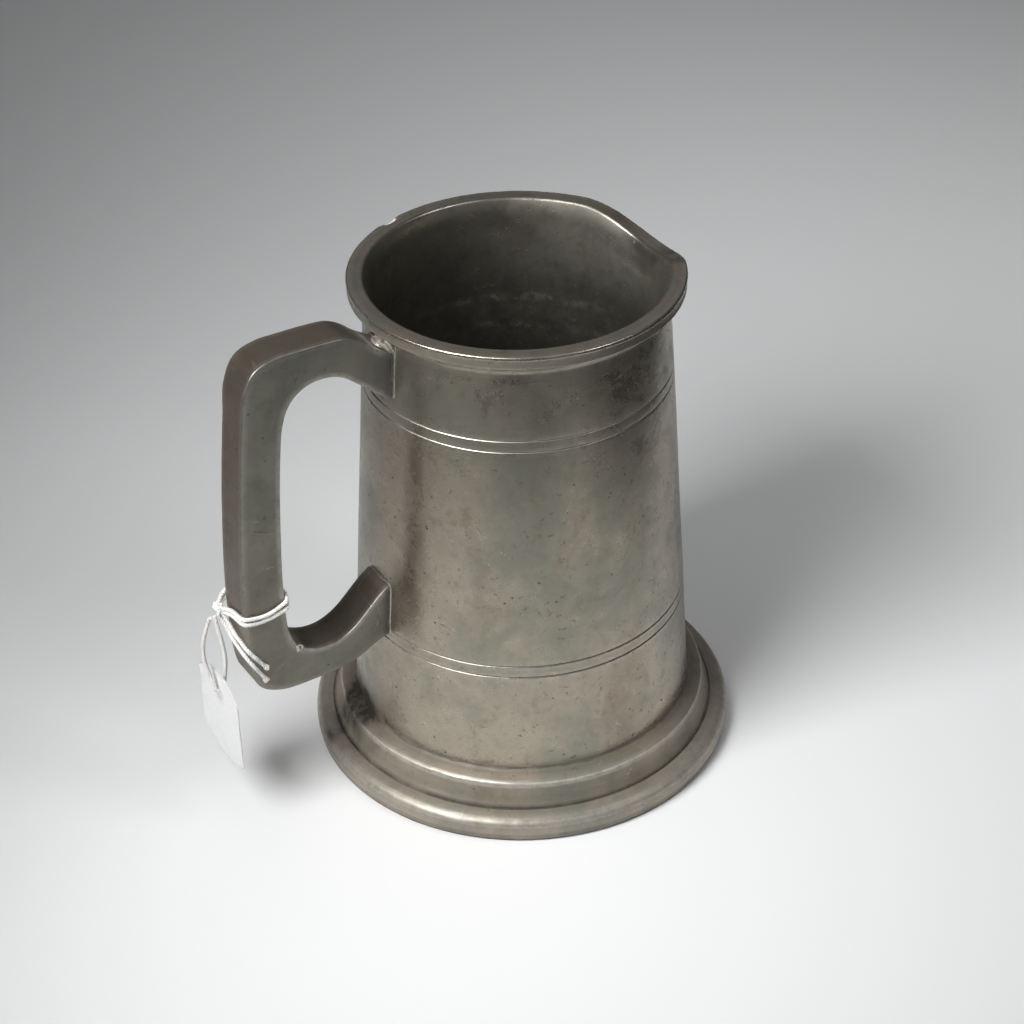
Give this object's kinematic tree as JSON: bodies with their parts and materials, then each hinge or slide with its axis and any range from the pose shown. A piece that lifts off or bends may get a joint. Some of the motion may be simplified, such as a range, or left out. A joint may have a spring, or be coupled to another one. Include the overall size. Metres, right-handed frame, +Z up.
{
  "type": "tankard",
  "caption": "Open pewter beer stein: tapering drum with a rolled lip and pouring spout, moulded foot, hollow slab handle, and a card tag tied to the handle with string.",
  "frame": {"origin": "centre of the circle that the foot stands on, in the plane it stands on", "axes": "+Z up along the drum's axis, +X out over the pouring lip, -X out along the handle, Y across the handle's flat sides"},
  "size_m": [0.1406, 0.1086, 0.132],
  "materials": {
    "pewter_body": "satin",
    "pewter_foot": "satin",
    "pewter_handle": "satin",
    "solder": "satin",
    "cotton_string": "matte",
    "card": "matte"
  },
  "bodies": {
    "tankard": {"body_drum": "pewter_body", "bottom_disc": "pewter_body", "foot_collar": "pewter_foot", "foot_base_ring": "pewter_foot", "inner_bottom_solder": "solder", "foot_collar_solder": "solder", "base_ring_solder": "solder", "handle_casting": "pewter_handle", "handle_vent_plug": "solder", "upper_handle_solder": "solder", "lower_handle_solder": "solder", "string_strand_a": "cotton_string", "string_strand_b": "cotton_string", "string_knot": "cotton_string"},
    "hanger": {"string_hanger": "cotton_string"},
    "tag": {"tag_label": "card"}
  },
  "joints": [
    {"name": "hanger_swing", "type": "hinge", "parent": "tankard", "child": "hanger", "pos_m": [-0.0832, 0.006, 0.0595], "axis": [0, 1, 0], "range_deg": [-4, 80]},
    {"name": "tag_pivot", "type": "hinge", "parent": "hanger", "child": "tag", "pos_m": [-0.0832, 0.006, 0.03685], "axis": [1, 0, 0], "range_deg": [-70, 70]}
  ]
}
